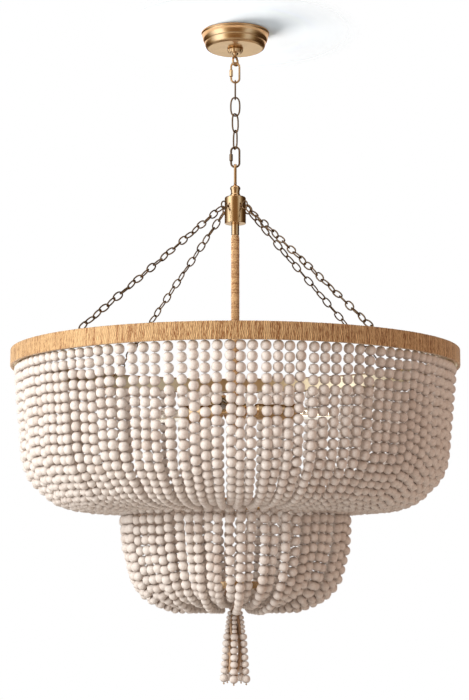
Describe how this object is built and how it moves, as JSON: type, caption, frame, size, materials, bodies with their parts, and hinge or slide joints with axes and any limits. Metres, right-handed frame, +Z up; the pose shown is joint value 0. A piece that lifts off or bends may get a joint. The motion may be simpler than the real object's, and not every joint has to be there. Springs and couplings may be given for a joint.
{
  "type": "beaded chandelier",
  "caption": "Two-tier chandelier of hanging wooden bead strands on a fibre-wrapped rim, with brass chains, hub, stem, canopy and a beaded tassel.",
  "frame": {"origin": "the point on the ceiling that the chandelier hangs below, on its vertical axis, level with the top of the crossbar", "axes": "+Z up into the ceiling, -Y towards the viewer of the picture, +X to the right"},
  "size_m": [0.914, 0.914, 1.3483],
  "materials": {
    "antique_brass": "satin, lacquered antique brass",
    "dark_brass": "darkened antique brass chain",
    "steel": "plain zinc-plated steel, hidden",
    "fibre": "close turns of natural fibre cord, matte",
    "bead_wood": "whitewashed matte wood",
    "lamp_glass": "clear amber-tinted glass"
  },
  "bodies": {
    "bracket": {"crossbar": "steel", "crossbar_screw_left": "steel", "crossbar_screw_right": "steel", "threaded_nipple": "steel", "nipple_locknut": "steel", "canopy_loop": "antique_brass"},
    "canopy_shell": {"canopy": "antique_brass"},
    "collar_nut": {"canopy_collar": "antique_brass"},
    "upper_link": {"upper_quick_link": "dark_brass"},
    "upper_sleeve": {"upper_link_sleeve": "dark_brass"},
    "link_1": {"chain_link_1": "dark_brass"},
    "link_2": {"chain_link_2": "dark_brass"},
    "link_3": {"chain_link_3": "dark_brass"},
    "link_4": {"chain_link_4": "dark_brass"},
    "lower_link": {"lower_quick_link": "dark_brass"},
    "lower_sleeve": {"lower_link_sleeve": "dark_brass"},
    "fixture": {"fixture_loop": "antique_brass", "loop_spool": "antique_brass", "hub": "antique_brass", "hub_eye_1": "dark_brass", "hub_eye_2": "dark_brass", "hub_eye_3": "dark_brass", "hub_eye_4": "dark_brass", "stem_ferrule": "antique_brass", "stem_tube": "antique_brass", "stem_wrap": "fibre", "rim_hoop": "antique_brass", "rim_wrap": "fibre", "rim_chain_1": "dark_brass", "rim_chain_2": "dark_brass", "rim_chain_3": "dark_brass", "rim_chain_4": "dark_brass", "upper_strands_1": "bead_wood", "upper_strands_2": "bead_wood", "upper_strands_3": "bead_wood", "upper_strands_4": "bead_wood", "upper_strands_5": "bead_wood", "upper_strands_6": "bead_wood", "upper_strands_7": "bead_wood", "upper_strands_8": "bead_wood", "lower_ring": "antique_brass", "lower_strands_1": "bead_wood", "lower_strands_2": "bead_wood", "lower_strands_3": "bead_wood", "lower_strands_4": "bead_wood", "gathering_ring": "antique_brass", "lamp_body": "antique_brass", "stem_finial": "antique_brass", "lamp_socket_1": "antique_brass", "lamp_socket_2": "antique_brass", "lamp_socket_3": "antique_brass", "bulb_1": "lamp_glass", "bulb_2": "lamp_glass", "bulb_3": "lamp_glass"},
    "tassel": {"tassel": "bead_wood"}
  },
  "joints": [
    {"name": "canopy_lower", "type": "slide", "parent": "bracket", "child": "canopy_shell", "axis": [0, 0, -1], "range_m": [0, 0.009]},
    {"name": "collar_unscrew", "type": "slide", "parent": "bracket", "child": "collar_nut", "axis": [0, 0, -1], "range_m": [0, 0.009]},
    {"name": "upper_link_swing", "type": "hinge", "parent": "bracket", "child": "upper_link", "pos_m": [0, 0, -0.0694], "axis": [0.5299, 0.848, 0], "range_deg": [-20, 20]},
    {"name": "upper_sleeve_slide", "type": "slide", "parent": "upper_link", "child": "upper_sleeve", "axis": [0, 0, 1], "range_m": [0, 0.0065]},
    {"name": "link_1_swing", "type": "hinge", "parent": "upper_link", "child": "link_1", "pos_m": [0, 0, -0.10703], "axis": [1, 0, 0], "range_deg": [-20, 20]},
    {"name": "link_2_swing", "type": "hinge", "parent": "link_1", "child": "link_2", "pos_m": [0, 0, -0.14273], "axis": [0, 1, 0], "range_deg": [-20, 20]},
    {"name": "link_3_swing", "type": "hinge", "parent": "link_2", "child": "link_3", "pos_m": [0, 0, -0.17883], "axis": [1, 0, 0], "range_deg": [-20, 20]},
    {"name": "link_4_swing", "type": "hinge", "parent": "link_3", "child": "link_4", "pos_m": [0, 0, -0.21398], "axis": [0.6428, 0.766, 0], "range_deg": [-20, 20]},
    {"name": "lower_link_swing", "type": "hinge", "parent": "link_4", "child": "lower_link", "pos_m": [0, 0, -0.24963], "axis": [0.3907, -0.9205, 0], "range_deg": [-20, 20]},
    {"name": "lower_sleeve_slide", "type": "slide", "parent": "lower_link", "child": "lower_sleeve", "axis": [0, 0, 1], "range_m": [0, 0.0065]},
    {"name": "fixture_swing", "type": "hinge", "parent": "lower_link", "child": "fixture", "pos_m": [0, 0, -0.28843], "axis": [1, 0, 0], "range_deg": [-20, 20]},
    {"name": "tassel_swing", "type": "hinge", "parent": "fixture", "child": "tassel", "pos_m": [0, 0, -1.1478], "axis": [0, 1, 0], "range_deg": [-15, 15]}
  ],
  "couplings": [
    {"joint": "collar_unscrew", "follows": "canopy_lower", "ratio": 1}
  ]
}
